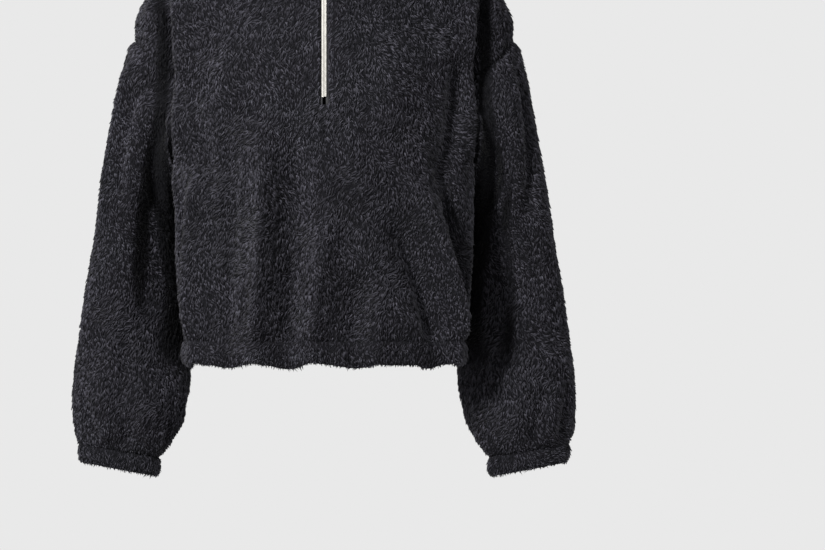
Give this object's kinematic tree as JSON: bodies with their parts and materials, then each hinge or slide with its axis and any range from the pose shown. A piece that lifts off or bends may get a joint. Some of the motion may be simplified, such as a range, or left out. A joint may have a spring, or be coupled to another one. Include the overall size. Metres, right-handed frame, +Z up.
{
  "type": "cropped zip fleece",
  "caption": "Cropped teddy fleece with a half zip, stand collar, dropped shoulders and full sleeves, filled out hollow as worn, with open neck, hem and cuffs.",
  "frame": {"origin": "on the middle line, level with the two high points of the shoulders, where the wearer carries it", "axes": "+X is the wearer's left, the front faces -Y, +Z is up"},
  "size_m": [0.5786, 0.2551, 0.7006],
  "materials": {
    "teddy_fleece": "charcoal teddy pile",
    "fleece_band": "charcoal teddy pile, gathered",
    "zip_tape": "woven polyester tape",
    "zip_coil": "warm white coil",
    "zip_metal": "satin nickel"
  },
  "bodies": {
    "garment": {"front": "teddy_fleece", "back": "teddy_fleece", "sleeve_left": "teddy_fleece", "sleeve_right": "teddy_fleece", "cuff_left": "fleece_band", "cuff_right": "fleece_band", "hem_casing": "fleece_band", "collar": "teddy_fleece", "zip_tape_left": "zip_tape", "zip_tape_right": "zip_tape", "zip_chain": "zip_coil", "zip_slider": "zip_metal"},
    "pull": {"zip_pull": "zip_metal"}
  },
  "joints": [
    {"name": "pull_hinge", "type": "hinge", "parent": "garment", "child": "pull", "pos_m": [0, -0.07337, -0.0026], "axis": [-1, 0, 0], "range_deg": [0, 165]}
  ]
}
